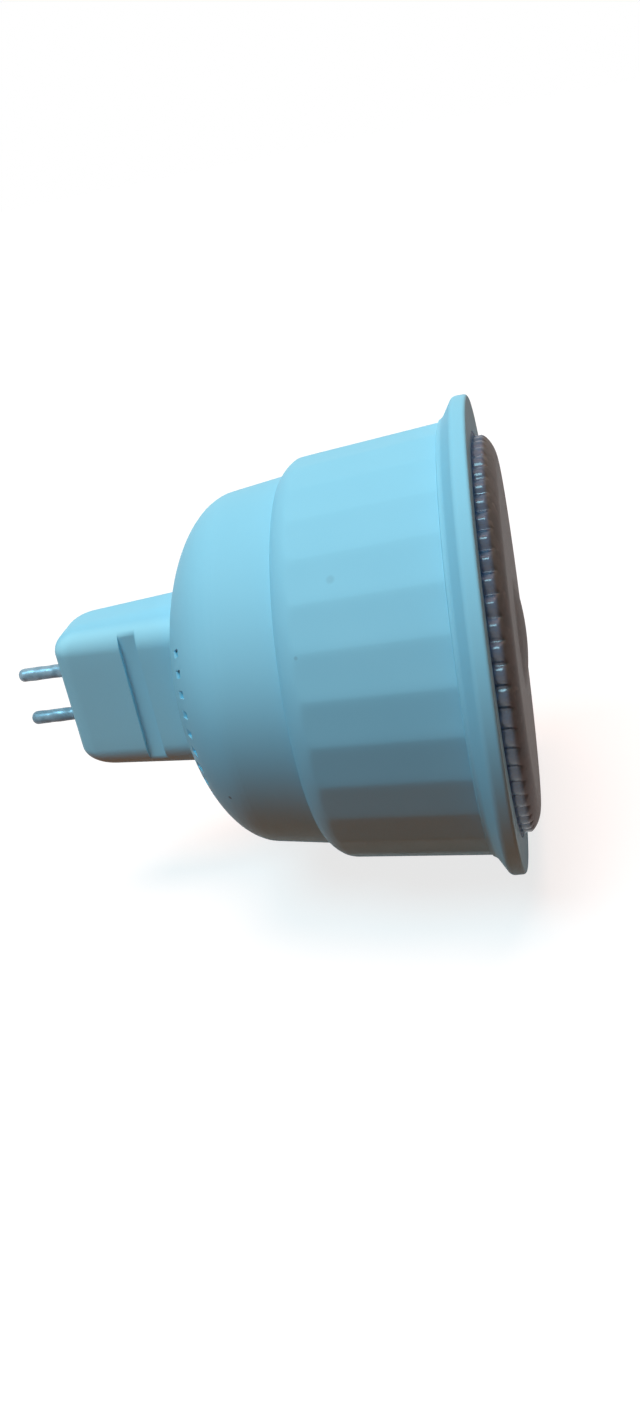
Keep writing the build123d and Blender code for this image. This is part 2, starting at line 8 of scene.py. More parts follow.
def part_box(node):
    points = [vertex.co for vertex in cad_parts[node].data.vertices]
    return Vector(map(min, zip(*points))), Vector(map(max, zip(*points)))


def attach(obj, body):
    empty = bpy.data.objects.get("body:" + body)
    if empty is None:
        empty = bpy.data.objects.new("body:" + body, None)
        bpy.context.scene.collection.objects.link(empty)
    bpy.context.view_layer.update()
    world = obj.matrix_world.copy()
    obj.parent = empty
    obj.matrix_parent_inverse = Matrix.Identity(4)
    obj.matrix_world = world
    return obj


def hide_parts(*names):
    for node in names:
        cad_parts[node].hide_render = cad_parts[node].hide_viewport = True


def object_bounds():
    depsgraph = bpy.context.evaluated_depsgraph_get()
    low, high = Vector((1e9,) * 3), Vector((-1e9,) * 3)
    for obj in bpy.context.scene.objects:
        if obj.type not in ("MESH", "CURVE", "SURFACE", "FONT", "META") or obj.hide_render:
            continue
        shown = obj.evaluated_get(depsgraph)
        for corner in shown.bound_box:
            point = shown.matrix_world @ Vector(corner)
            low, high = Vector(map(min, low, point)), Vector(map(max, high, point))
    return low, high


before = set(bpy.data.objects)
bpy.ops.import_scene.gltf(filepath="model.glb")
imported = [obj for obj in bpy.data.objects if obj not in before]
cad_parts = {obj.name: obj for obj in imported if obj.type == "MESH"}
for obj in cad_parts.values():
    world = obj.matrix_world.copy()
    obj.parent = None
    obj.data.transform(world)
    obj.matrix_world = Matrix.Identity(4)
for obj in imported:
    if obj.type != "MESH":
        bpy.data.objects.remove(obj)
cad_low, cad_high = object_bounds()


# Contact pins: two drawn brass pins, dipped in tin and pushed through the base's floor from inside.
# Each has a round tip, a thicker shank in the floor, a collar behind it and a tail for solder.
# The tin sets in low waves and varies in random patches. Its blue grey is a painted reflection of dark blue
# surroundings.
MM = 0.001


class Shade:
    """A socket in a material's nodes: arithmetic on it adds Math nodes, and node() adds any other kind."""

    # A Mix node's own sockets for colours: its two inputs and its result
    MIX_INPUTS = (6, 7)
    MIX_RESULT = 2

    def __init__(self, socket):
        self.socket = socket
        self.tree = socket.id_data

    def node(self, kind, settings, inputs, output=0):
        """Adds a node with its settings, then a value or a link for each input, and gives one output."""
        made = self.tree.nodes.new(kind)
        for key, value in settings.items():
            setattr(made, key, value)
        for key, value in inputs.items():
            if isinstance(value, Shade):
                self.tree.links.new(value.socket, made.inputs[key])
            else:
                made.inputs[key].default_value = value
        return Shade(made.outputs[output])

    def maths(self, operation, *operands):
        """A Math node on its operands, each a number or another socket."""
        return self.node("ShaderNodeMath", {"operation": operation}, dict(enumerate(operands)))

    def __add__(self, other):
        return self.maths("ADD", self, other)

    def __sub__(self, other):
        return self.maths("SUBTRACT", self, other)

    def __rsub__(self, other):
        return self.maths("SUBTRACT", other, self)

    def __mul__(self, other):
        return self.maths("MULTIPLY", self, other)

    def __gt__(self, other):
        return self.maths("GREATER_THAN", self, other)

    def __lt__(self, other):
        return self.maths("LESS_THAN", self, other)

    def __abs__(self):
        return self.maths("ABSOLUTE", self)

    __radd__ = __add__
    __rmul__ = __mul__

    def noise(self, size, detail=2.0):
        """Noise from 0 to 1 with lumps about this many metres across, at the place that self is."""
        return self.node("ShaderNodeTexNoise", {}, {"Vector": self, "Scale": 1 / size, "Detail": detail})

    def along(self, axis):
        """One coordinate of a place."""
        return self.node("ShaderNodeSeparateXYZ", {}, {"Vector": self}, axis)

    def fade(self, start, end):
        """Goes from 0 to 1, with level ends, as self goes from start to end."""
        limits = {"Value": self, "From Min": start, "From Max": end}
        return self.node("ShaderNodeMapRange", {"interpolation_type": "SMOOTHSTEP"}, limits)

    def between(self, one, other):
        """A colour that goes from one to the other as self goes from 0 to 1."""
        ends = (c if isinstance(c, Shade) else (*c, 1) for c in (one, other))
        inputs = {0: self, **dict(zip(self.MIX_INPUTS, ends))}
        return self.node("ShaderNodeMix", {"data_type": "RGBA"}, inputs, self.MIX_RESULT)

    def relief(self, depth):
        """The surface's normal, bent by heights from 0 to 1 over this depth in metres."""
        return self.node("ShaderNodeBump", {}, {"Height": self, "Distance": depth}, "Normal")

    def feeds(self, shader, name):
        """Links self to a shader's input."""
        self.tree.links.new(self.socket, shader.inputs[name])


def finish(name, **constants):
    """A Principled material with constants on its shader's own sockets. Gives the material, its shader and
    its Object coordinates."""
    made = bpy.data.materials.new(name)
    made.use_nodes = True
    shader = made.node_tree.nodes["Principled BSDF"]
    for key, value in constants.items():
        shader.inputs[key.replace("_", " ")].default_value = value
    place = made.node_tree.nodes.new("ShaderNodeTexCoord").outputs["Object"]
    return made, shader, Shade(place)


def rounded(corners, steps=6, guard=0.03):
    """The points of a closed outline, corner by corner, from corners given as (x, r, radius). Each is an arc
    that touches its two sides. It starts and ends radius / tan(half the corner's angle) from the corner, and
    its centre lies radius / sin(half the angle) away on the bisector. A point on it is the centre plus the
    spokes to both ends, each times the sine of the sweep from the other end, over the whole sweep's sine.
    A guard point just outside each end keeps the flats flat."""
    corners = np.array(corners, float)
    point, radius = corners[:, :2], corners[:, 2:]
    back = np.roll(point, 1, 0) - point
    on = np.roll(point, -1, 0) - point
    back /= np.linalg.norm(back, axis=1, keepdims=True)
    on /= np.linalg.norm(on, axis=1, keepdims=True)
    half = np.arccos(np.clip((back * on).sum(1, keepdims=True), -1, 1)) / 2
    middle = (back + on) / np.linalg.norm(back + on, axis=1, keepdims=True)
    centre = point + middle * radius / np.sin(half)
    start = point + back * radius / np.tan(half)
    end = point + on * radius / np.tan(half)
    sweep = (pi - 2 * half)[:, None]
    share = np.linspace(0, 1, steps)[None, :, None]
    from_start = np.sin((1 - share) * sweep) * (start - centre)[:, None]
    from_end = np.sin(share * sweep) * (end - centre)[:, None]
    arc = centre[:, None] + (from_start + from_end) / np.sin(sweep)
    before = (start + guard * back)[:, None]
    after = (end + guard * on)[:, None]
    return np.concatenate([before, arc, after], 1)


def turned(x, r, angle):
    """Places at x along the lamp's axis and r away from it: y is r times the angle's cosine, z r times its
    sine."""
    x, r, angle = np.broadcast_arrays(x, r, angle)
    return np.stack([x, r * np.cos(angle), r * np.sin(angle)], -1)


def skin(name, grid, made, slot, *nodes, ring=False):
    """A closed piece over a grid of places in millimetres, which stands for CAD nodes. Columns go round. Rows
    join end to start (ring), or else a fan closes each end. The faces look outwards: they are turned round
    where the sum of their corners' triple products, which has the volume's sign, is below zero."""
    rows, columns = grid.shape[:2]
    index = np.arange(rows * columns).reshape(rows, columns)
    points = grid.reshape(-1, 3)
    low, high = (index, np.roll(index, -1, 0)) if ring else (index[:-1], index[1:])
    quads = np.stack([low, np.roll(low, -1, 1), np.roll(high, -1, 1), high], -1).reshape(-1, 4)
    groups = [quads]
    if not ring:
        points = np.vstack([points, grid[0].mean(0), grid[-1].mean(0)])
        first = np.full(columns, len(points) - 2)
        last = first + 1
        groups.append(np.stack([first, np.roll(index[0], -1), index[0]], -1))
        groups.append(np.stack([last, index[-1], np.roll(index[-1], -1)], -1))
    a, b, c, d = (points[quads[:, i]] for i in range(4))
    volume = (np.cross(a, b) * c).sum() + (np.cross(a, c) * d).sum()
    way = -1 if volume < 0 else 1
    faces = [face for group in groups for face in group[:, ::way].tolist()]
    mesh = bpy.data.meshes.new(name)
    mesh.from_pydata((points * MM).tolist(), [], faces)
    mesh.shade_smooth()
    mesh.materials.append(made)
    piece = bpy.data.objects.new(name, mesh)
    bpy.context.scene.collection.objects.link(piece)
    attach(piece, "root")
    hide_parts(*nodes)
    return piece


PIN_RADIUS = 0.75
PIN_SPACING = 5.33
PIN_LENGTH = 5.9
PIN_TIP_ROUND = 0.65
SHANK_RADIUS = 0.95
SHANK_START = 0.1
BASE_FLOOR = 2.0
COLLAR_RADIUS = 1.2
COLLAR_END = 2.6
TAIL_RADIUS = 0.6
TAIL_END = 5.2
SMALL_ROUND = 0.04
AXIS_GAP = 0.02
AXIS_ROUND = 0.005
PIN_STEPS = 8
PIN_GUARD = 0.01
PIN_COLUMNS = 48
SHAFT_FROM_TIP = 1.1
SHAFT_FROM_BASE = 0.3
SHAFT_ROWS = 28
TIN_WAVE = 0.012
LONG_WAVE = 2.3
LONG_WAVE_SHIFT = 1.7
SHORT_WAVE = 4.1
SHORT_WAVE_SHARE = 0.7
WAVE_FADE = 0.8
# The tin's blue grey is a painted reflection of dark blue surroundings, in a lighter and a darker tone
PAINTED_TIN_REFLECTION = (0.27, 0.43, 0.52)
PAINTED_TIN_REFLECTION_DARK = (0.19, 0.33, 0.41)
TIN_PATCH = 1.3
TIN_GRAIN = 0.45
TIN_GRAIN_DEPTH = 0.015

tin, tin_shader, tin_place = finish("tin_painted_blue_grey", Specular_IOR_Level=0.2)
tin_shine = tin_place.noise(TIN_PATCH * MM).fade(0.35, 0.70)
# Painted reflection: the two blue grey tones mixed in random patches
tin_shine.between(PAINTED_TIN_REFLECTION_DARK, PAINTED_TIN_REFLECTION).feeds(tin_shader, "Base Color")
(0.10 + 0.30 * tin_shine).feeds(tin_shader, "Metallic")
(0.45 - 0.12 * tin_shine).feeds(tin_shader, "Roughness")
tin_place.noise(TIN_GRAIN * MM, 1).relief(TIN_GRAIN_DEPTH * MM).feeds(tin_shader, "Normal")

pin_corners = [
    (-PIN_LENGTH, AXIS_GAP, AXIS_ROUND),
    (-PIN_LENGTH, PIN_RADIUS, PIN_TIP_ROUND),
    (SHANK_START, PIN_RADIUS, SMALL_ROUND),
    (SHANK_START, SHANK_RADIUS, SMALL_ROUND),
    (BASE_FLOOR, SHANK_RADIUS, SMALL_ROUND),
    (BASE_FLOOR, COLLAR_RADIUS, SMALL_ROUND),
    (COLLAR_END, COLLAR_RADIUS, SMALL_ROUND),
    (COLLAR_END, TAIL_RADIUS, SMALL_ROUND),
    (TAIL_END, TAIL_RADIUS, SMALL_ROUND),
    (TAIL_END, AXIS_GAP, AXIS_ROUND),
]
pin_arcs = rounded(pin_corners, PIN_STEPS, PIN_GUARD)
shaft_x = np.linspace(-PIN_LENGTH + SHAFT_FROM_TIP, -SHAFT_FROM_BASE, SHAFT_ROWS)
shaft = np.column_stack([shaft_x, np.full(SHAFT_ROWS, PIN_RADIUS)])
# The first and last corners lie at the axis, so each keeps only its two points on the pin's end
pin_outline = np.vstack([pin_arcs[0, -2:], pin_arcs[1], shaft, *pin_arcs[2:-1], pin_arcs[-1, :2]])
pin_x, pin_r = pin_outline[:, :1], pin_outline[:, 1:]
pin_turn = np.linspace(0, 2 * pi, PIN_COLUMNS, endpoint=False)
wave_fade = np.clip(-pin_x / WAVE_FADE, 0, 1) * np.clip((pin_x + PIN_LENGTH) / WAVE_FADE, 0, 1)
for name, side in (("upper", 1), ("lower", -1)):
    # The tin's waves: a long and a short sine, crossed round and along the shaft, which fade out at its ends
    wave = np.sin(LONG_WAVE * pin_x + side * LONG_WAVE_SHIFT + 2 * pin_turn)
    wave = wave + SHORT_WAVE_SHARE * np.sin(SHORT_WAVE * pin_x - 3 * pin_turn)
    grid = turned(pin_x, pin_r + TIN_WAVE * wave * wave_fade, pin_turn) + [0, 0, side * PIN_SPACING / 2]
    skin(f"tinned_pin_{name}", grid, tin, "pin_metal", f"contact_pin_{name}")


# Pin base: a drafted hollow block, moulded in the shells' pale blue plastic.
# Its two wide faces are painted paler: painted light, as if more light fell on them.
# A lip inside the bowl holds it, and a groove across each wide face takes the holder's spring clip.
BASE_HALF_WIDTH = 8.1
BASE_HALF_DEPTH = 4.2
BASE_CORNER = 2.5
BASE_DRAFT = tan(radians(4.5))
BASE_WALL = 1.6
BASE_EDGE_ROUND = 2.5
NARROW_EDGE_STRETCH = 0.75
EDGE_STEPS = 16
EDGE_END = 5.2
BOWL_FLOOR = 16.7
LIP_RADIUS = 10.02
LIP_FRONT = 17.9
GROOVE_START = 8.1
GROOVE_END = 10.1
GROOVE_FLOOR = 4.316
GROOVE_SLOPE = 0.03
GROOVE_MARGIN = 0.1
ROWS_TO_GROOVE = 5
ROWS_TO_BOWL = 6
CORNER_COLUMNS = 14
SIDE_COLUMNS = 6
SHARP_ANGLE = radians(30)
# Painted light on the base's wide faces: where it starts and where it is full, aside from the middle
FACE_LIGHT_START = 2.4
FACE_LIGHT_FULL = 3.5
SHELL_BLUE = (0.290, 0.700, 0.885)
SHELL_BLUE_DEEP = (0.262, 0.660, 0.848)
# The paler blue of the painted light on the base's wide faces
PAINTED_FACE_LIGHT_BLUE = (0.372, 0.820, 0.985)
MARK_GREY = (0.12, 0.20, 0.25)
MARK_CORE = 0.4
MOTTLE = 9
SATIN_PATCH = 2.5
SATIN_GRAIN = 0.35
SATIN_DEPTH = 0.004
# Marks from handling: each one's place in millimetres, its radius and how dark it is
MARKS = (
    ((33.93, -16.48, 14.39), 0.55, 0.16),
    ((19.86, -17.16, -6.49), 0.28, 0.75),
    ((17.25, -14.25, -6.84), 0.22, 0.45),
    ((29.98, -19.81, 8.47), 0.25, 0.25),
)


def blue_plastic(name, painted_face_light):
    """The shells' plastic: a faint mottle, darkened inside each mark's ball, and a fine satin grain. When
    asked, painted light makes it paler as a point's distance aside, less the draft times x, goes from the
    painted light's start to where it is full."""
    made, shader, place = finish(name, Specular_IOR_Level=0.03)
    colour = place.noise(MOTTLE * MM, 3).between(SHELL_BLUE_DEEP, SHELL_BLUE)
    if painted_face_light:
        # Painted light: the wide faces are painted paler, as if more light fell on them
        aside = abs(place.along(1)) - BASE_DRAFT * place.along(0)
        colour = aside.fade(FACE_LIGHT_START * MM, FACE_LIGHT_FULL * MM).between(colour, PAINTED_FACE_LIGHT_BLUE)
    for spot, radius, strength in MARKS:
        there = {0: place, 1: [c * MM for c in spot]}
        away = place.node("ShaderNodeVectorMath", {"operation": "DISTANCE"}, there, "Value")
        mark = strength - strength * away.fade(MARK_CORE * radius * MM, radius * MM)
        colour = mark.between(colour, MARK_GREY)
    colour.feeds(shader, "Base Color")
    (0.40 + 0.16 * place.noise(SATIN_PATCH * MM, 3)).feeds(shader, "Roughness")
    place.noise(SATIN_GRAIN * MM).relief(SATIN_DEPTH * MM).feeds(shader, "Normal")
    return made


base_plastic = blue_plastic("blue_plastic_with_painted_face_light", painted_face_light=True)

# Each column has an anchor on the inner rectangle, which the corners turn about, and a way out from it
corner_y = BASE_HALF_DEPTH - BASE_CORNER
corner_z = BASE_HALF_WIDTH - BASE_CORNER
quarter = np.linspace(0, pi / 2, CORNER_COLUMNS)
side_share = np.linspace(0, 1, SIDE_COLUMNS + 2)[1:-1] * 2 - 1
base_anchor, base_angle = [], []
for turn, sign_y, sign_z in ((0, 1, 1), (1, -1, 1), (2, -1, -1), (3, 1, -1)):
    base_anchor.append(np.full((CORNER_COLUMNS, 2), (sign_y * corner_y, sign_z * corner_z)))
    base_angle.append(quarter + turn * pi / 2)
    narrow_side = turn % 2 == 0
    along = (-corner_y * sign_y, 0) if narrow_side else (0, -corner_z * sign_z)
    beside = (0, sign_z * corner_z) if narrow_side else (sign_y * corner_y, 0)
    base_anchor.append(side_share[:, None] * along + beside)
    base_angle.append(np.full(SIDE_COLUMNS, (turn + 1) * pi / 2))
base_anchor = np.concatenate(base_anchor)
base_angle = np.concatenate(base_angle)
base_way = np.column_stack([np.cos(base_angle), np.sin(base_angle)])


def base_section(x, outside, stretch=0):
    """The rounded oblong at x, so many millimetres outside the pin face's outline: each column's anchor, plus
    the corner's radius and that distance along its way out. A stretch draws it out along x, and outwards by
    the draft, in proportion to the square of how far a column looks up or down."""
    longer = x * stretch * base_way[:, 1:] ** 2
    flat = base_anchor + (BASE_CORNER + outside + longer * BASE_DRAFT) * base_way
    return np.column_stack([x + longer, flat])


base_corners = [
    (0, -BASE_EDGE_ROUND, SMALL_ROUND),
    (0, 0, BASE_EDGE_ROUND),
    (BOWL_FLOOR, BOWL_FLOOR * BASE_DRAFT, SMALL_ROUND),
    (BOWL_FLOOR, -BASE_EDGE_ROUND, SMALL_ROUND),
]
edge_rows = rounded(base_corners, EDGE_STEPS)[1]
to_groove = np.linspace(EDGE_END, GROOVE_START - GROOVE_MARGIN, ROWS_TO_GROOVE)
groove_x = [GROOVE_START, GROOVE_START + GROOVE_SLOPE, GROOVE_END - GROOVE_SLOPE, GROOVE_END]
to_bowl = np.linspace(GROOVE_END + GROOVE_MARGIN, BOWL_FLOOR, ROWS_TO_BOWL)
base_rows = [base_section(x, outside, NARROW_EDGE_STRETCH) for x, outside in edge_rows]
base_rows += [base_section(x, x * BASE_DRAFT) for x in (*to_groove, *groove_x, *to_bowl)]
# Groove: between its walls no point stands further out than its floor
first_wall = len(edge_rows) + len(to_groove)
for sunk in base_rows[first_wall + 1 : first_wall + 3]:
    sunk[:, 1] = np.clip(sunk[:, 1], -GROOVE_FLOOR, GROOVE_FLOOR)
# Inside the bowl a round lip, then the hollow's wall back to the floor
lip_turn = np.arctan2(base_rows[-1][:, 2], base_rows[-1][:, 1])
base_rows += [turned(x, LIP_RADIUS, lip_turn) for x in (BOWL_FLOOR, LIP_FRONT)]
base_rows += [base_section(x, x * BASE_DRAFT - BASE_WALL) for x in (LIP_FRONT, BASE_FLOOR)]
base = skin("grooved_base", np.stack(base_rows), base_plastic, "shell_plastic", "pin_base")
base.data.set_sharp_from_angle(angle=SHARP_ANGLE)


# Driver board: a glass laminate under green lacquer, with its glass weave just showing.
# Its tongue stands in the base between the pins' tails, and its shoulders bear on the base's lip.
LACQUER = (0.030, 0.150, 0.060)
LACQUER_THIN = (0.055, 0.200, 0.090)
LACQUER_PATCH = 1.5
WEAVE_PITCH = 0.5
WEAVE_DEPTH = 0.01


def dress(made, *nodes):
    """Gives CAD nodes a finish in place of the plain one that they load with."""
    for node in nodes:
        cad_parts[node].material_slots[0].material = made


laminate, laminate_shader, laminate_place = finish("green_laminate", Specular_IOR_Level=0.4)
weave_turn = 2 * pi / (WEAVE_PITCH * MM)
warp = laminate_place.maths("SINE", laminate_place.along(0) * weave_turn)
weft = laminate_place.maths("SINE", laminate_place.along(2) * weave_turn)
weave = 0.5 + 0.25 * (warp + weft)
weave.between(LACQUER, LACQUER_THIN).feeds(laminate_shader, "Base Color")
(0.30 + 0.2 * laminate_place.noise(LACQUER_PATCH * MM)).feeds(laminate_shader, "Roughness")
weave.relief(WEAVE_DEPTH * MM).feeds(laminate_shader, "Normal")
dress(laminate, "driver_board")


# Soldered parts: the rectifier, chip and diode in black epoxy, the chip resistors and the glazed fuse.
# Their legs, ends or caps are tinned and sit in solder on the board.
EPOXY = (0.022, 0.023, 0.025)
GLAZE = (0.30, 0.42, 0.40)
TIN_BRIGHT = (0.78, 0.83, 0.87)
BODY_GRAIN = 0.6
BODY_GRAIN_DEPTH = 0.012
# Each part's node and body colour, the axis that its ends lie along, and how far from its middle they start
SOLDERED_PARTS = (
    ("bridge_rectifier", EPOXY, 2, 1.95),
    ("driver_chip", EPOXY, 2, 1.95),
    ("output_diode", EPOXY, 2, 1.95),
    ("chip_resistors", EPOXY, 2, 0.65),
    ("fuse_resistor", GLAZE, 0, 2.05),
)
for node, body, axis, half in SOLDERED_PARTS:
    low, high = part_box(node)
    soldered, soldered_shader, soldered_place = finish(f"{node}_body")
    tinned = abs(soldered_place.along(axis) - (low[axis] + high[axis]) / 2) > half * MM
    grain = soldered_place.noise(BODY_GRAIN * MM, 3)
    worn = grain.between([0.75 * c for c in body], [1.25 * c for c in body])
    tinned.between(worn, TIN_BRIGHT).feeds(soldered_shader, "Base Color")
    tinned.feeds(soldered_shader, "Metallic")
    (0.45 - 0.15 * tinned + 0.15 * grain).feeds(soldered_shader, "Roughness")
    grain.relief(BODY_GRAIN_DEPTH * MM).feeds(soldered_shader, "Normal")
    dress(soldered, node)


# Smoothing capacitor: an aluminium can in a dark shrunk sleeve with one pale stripe down its side.
# The can's end shows bare, and its crimped foot stands on the driver board.
SLEEVE = (0.020, 0.030, 0.055)
STRIPE = (0.42, 0.44, 0.46)
BARE_ALUMINIUM = (0.80, 0.81, 0.82)
BARE_END = 0.3
STRIPE_SHARE = 0.82
SLEEVE_PATCH = 1.0
SLEEVE_GRAIN = 0.5
SLEEVE_DEPTH = 0.01
can_low, can_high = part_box("smoothing_capacitor")
can_middle = (can_low + can_high) / 2
sleeve, sleeve_shader, sleeve_place = finish("can_sleeve_and_end")
can_end = sleeve_place.along(1) < can_low.y + BARE_END * MM
stripe = sleeve_place.along(2) < can_middle.z - STRIPE_SHARE * (can_middle.z - can_low.z)
can_end.between(stripe.between(SLEEVE, STRIPE), BARE_ALUMINIUM).feeds(sleeve_shader, "Base Color")
can_end.feeds(sleeve_shader, "Metallic")
(0.25 + 0.2 * sleeve_place.noise(SLEEVE_PATCH * MM)).feeds(sleeve_shader, "Roughness")
sleeve_place.noise(SLEEVE_GRAIN * MM).relief(SLEEVE_DEPTH * MM).feeds(sleeve_shader, "Normal")
dress(sleeve, "smoothing_capacitor")


# Choke: a grey ferrite drum with enamelled copper wire wound between its two flanges.
# It stands on the driver board beside the can.
FERRITE = (0.060, 0.058, 0.060)
FERRITE_PALE = (0.10, 0.10, 0.10)
FERRITE_GRAIN = 0.4
ENAMEL = (0.50, 0.17, 0.05)
CHOKE_FLANGE = 1.2
WIRE_PITCH = 0.35
WIRE_DEPTH = 0.12
choke_low, choke_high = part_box("choke")
wound, wound_shader, wound_place = finish("wound_ferrite")
choke_height = wound_place.along(1)
choke_reach = (choke_high.y - choke_low.y) / 2 - CHOKE_FLANGE * MM
winding = abs(choke_height - (choke_low.y + choke_high.y) / 2) < choke_reach
ferrite = wound_place.noise(FERRITE_GRAIN * MM).between(FERRITE, FERRITE_PALE)
winding.between(ferrite, ENAMEL).feeds(wound_shader, "Base Color")
(0.75 - 0.4 * winding).feeds(wound_shader, "Roughness")
wire = 0.5 + 0.5 * wound_place.maths("SINE", choke_height * (2 * pi / (WIRE_PITCH * MM)))
(wire * winding).relief(WIRE_DEPTH * MM).feeds(wound_shader, "Normal")
dress(wound, "choke")


# Film capacitor: metallised film, cast in a moulded ochre box.
# It stands on the driver board's other face.
FILM_BOX = (0.42, 0.26, 0.05)
FILM_BOX_DEEP = (0.34, 0.20, 0.04)
FILM_MOTTLE = 1.5
FILM_PATCH = 0.6
FILM_GRAIN = 0.3
FILM_DEPTH = 0.01
film, film_shader, film_place = finish("ochre_box")
film_place.noise(FILM_MOTTLE * MM, 3).between(FILM_BOX_DEEP, FILM_BOX).feeds(film_shader, "Base Color")
(0.45 + 0.2 * film_place.noise(FILM_PATCH * MM)).feeds(film_shader, "Roughness")
film_place.noise(FILM_GRAIN * MM).relief(FILM_DEPTH * MM).feeds(film_shader, "Normal")
dress(film, "film_capacitor")


# Rear shell: the smooth bowl, moulded in the same pale blue, with the base set in its mouth.
# An arc of vents beside each wide face of the base lets the warm air out.
shell_plastic = blue_plastic("pale_blue_plastic", painted_face_light=False)
dress(shell_plastic, "rear_shell")


# Front shell: the moulded cone behind the rim, cut into thirty flats whose edges the mould leaves soft.
# It snaps over the bowl's spigot. The ledge inside its rim takes the lens in front and the cup behind.
PARTING = 27.8
NECK_RADIUS = 19.90
NECK_BORE = 18.65
NECK_END = 30.0
NECK_CHAMFER_END = 31.9
NECK_ROUND = 0.2
BEAD_START = 28.4
BEAD_MIDDLE = 28.8
BEAD_END = 29.2
BEAD_HEIGHT = 0.3
SHOULDER_ROUND = 4.0
SHOULDER_TOP = 28.964
RIM_FRONT = 47.5
RIM_BACK = 46.0
RIM_RADIUS = 25.0
RIM_ROUND = 0.35
RIM_BACK_ROUND = 0.7
FLARE_START = 44.7
FLARE_RADIUS = 22.9
FLARE_ROUND = 1.1
SHELL_TAPER = tan(radians(4.8))
SHELL_WALL = 1.505
SEAT_DEPTH = 45.9
SEAT_RADIUS = 21.25
SEAT_ROUND = 0.08
LEDGE_RADIUS = 19.45
LEDGE_BACK = 44.4
FACETS = 30
FACET_INSET = 0.1
FACET_START = 31.2
FACET_FRONT = 44.35
FACET_STEP = 0.09
FACET_SHARPNESS = 520
FACET_RUN_OUT = 25.0
FACET_COLUMNS = 12
FACET_ROWS = 9
FACET_STEP_ROWS = 5
ARC_STEPS = 18
WALL_CORNERS = 3


def cone_radius(x):
    """The front shell's cone, which narrows away from the flare by its taper."""
    return FLARE_RADIUS - (FLARE_START - x) * SHELL_TAPER


def ease(share):
    """0 below 0 and 1 above 1, with level ends: 3 s squared less 2 s cubed."""
    share = np.clip(share, 0, 1)
    return share**2 * (3 - 2 * share)


shell_corners = [
    (PARTING, NECK_RADIUS, NECK_ROUND),
    (SHOULDER_TOP, cone_radius(SHOULDER_TOP), SHOULDER_ROUND),
    (FLARE_START, FLARE_RADIUS, FLARE_ROUND),
    (RIM_BACK, RIM_RADIUS, RIM_BACK_ROUND),
    (RIM_FRONT, RIM_RADIUS, RIM_ROUND),
    (RIM_FRONT, SEAT_RADIUS, SEAT_ROUND),
    (SEAT_DEPTH, SEAT_RADIUS, SMALL_ROUND),
    (SEAT_DEPTH, LEDGE_RADIUS, SMALL_ROUND),
    (LEDGE_BACK, LEDGE_RADIUS, SMALL_ROUND),
    (LEDGE_BACK, cone_radius(LEDGE_BACK) - SHELL_WALL, SMALL_ROUND),
    (NECK_CHAMFER_END, cone_radius(NECK_CHAMFER_END) - SHELL_WALL, SMALL_ROUND),
    (NECK_END, NECK_BORE, SMALL_ROUND),
    (BEAD_END, NECK_BORE, SMALL_ROUND),
    (BEAD_MIDDLE, NECK_BORE + BEAD_HEIGHT, SMALL_ROUND),
    (BEAD_START, NECK_BORE, SMALL_ROUND),
    (PARTING, NECK_BORE, SMALL_ROUND),
]
# From the neck to the flare x only grows, so rows for the flats and their front step go in by their x
outer_wall = rounded(shell_corners, ARC_STEPS)[:WALL_CORNERS].reshape(-1, 2)
inner_wall = rounded(shell_corners)[WALL_CORNERS:].reshape(-1, 2)
facet_x = np.linspace(FACET_START, FACET_FRONT, FACET_ROWS)
facet_step_x = FACET_FRONT + np.linspace(0, FACET_STEP, FACET_STEP_ROWS)
wall_x = np.union1d(outer_wall[:, 0], np.concatenate([facet_x, facet_step_x]))
wall_r = np.interp(wall_x, outer_wall[:, 0], outer_wall[:, 1])
shell_outline = np.vstack([np.column_stack([wall_x, wall_r]), inner_wall])
shell_x, shell_r = shell_outline[:, :1], shell_outline[:, 1:]
facet_turn = 2 * pi / FACETS
column_share = np.sin(np.linspace(-1, 1, FACET_COLUMNS, endpoint=False) * pi / 2) / 2
shell_turn = ((np.arange(FACETS)[:, None] + 0.5 + column_share) * facet_turn).ravel()
# Each flat lies at the polygon's inner radius. Along a ray its distance is that radius over the cosine of the
# angle to the flat's middle, and a high power mean of the two nearest cosines rounds the edge between flats.
off = (shell_turn / facet_turn) % 1 - 0.5
near = np.cos(off * facet_turn)
next_near = np.cos((1 - np.abs(off)) * facet_turn)
power = near * (1 + (next_near / near) ** FACET_SHARPNESS) ** (1 / FACET_SHARPNESS)
flat_radius = (cone_radius(shell_x) - FACET_INSET) * cos(facet_turn / 2) / power
# The wall is the nearer of its turned outline and the flat, less a logarithm that rounds the line where they
# cross. The flats ease out over their front step, and the rim and the inside have none.
run_out = np.log1p(np.exp(-FACET_RUN_OUT * np.abs(shell_r - flat_radius))) / FACET_RUN_OUT
cut = np.minimum(shell_r, flat_radius) - run_out
flatness = ease((FACET_FRONT + FACET_STEP - shell_x) / FACET_STEP)
flatness[len(wall_x):] = 0
shell_grid = turned(shell_x, shell_r + flatness * (cut - shell_r), shell_turn)
skin("faceted_shell", shell_grid, shell_plastic, "shell_plastic", "front_shell", ring=True)


# Heat spreader: a spun aluminium cup that lines the front shell, with turning lines on its faces.
# Its floor bears on the shell's ledge and carries the light board.
SPUN_GREY = (0.66, 0.67, 0.69)
SPUN_BRIGHT = (0.84, 0.85, 0.86)
TURNING_PITCH = 0.15
TURNING_DEPTH = 0.02


def off_axis(place):
    """Distance from the lamp's axis: the root of y squared plus z squared."""
    y, z = place.along(1), place.along(2)
    return place.maths("SQRT", y * y + z * z)


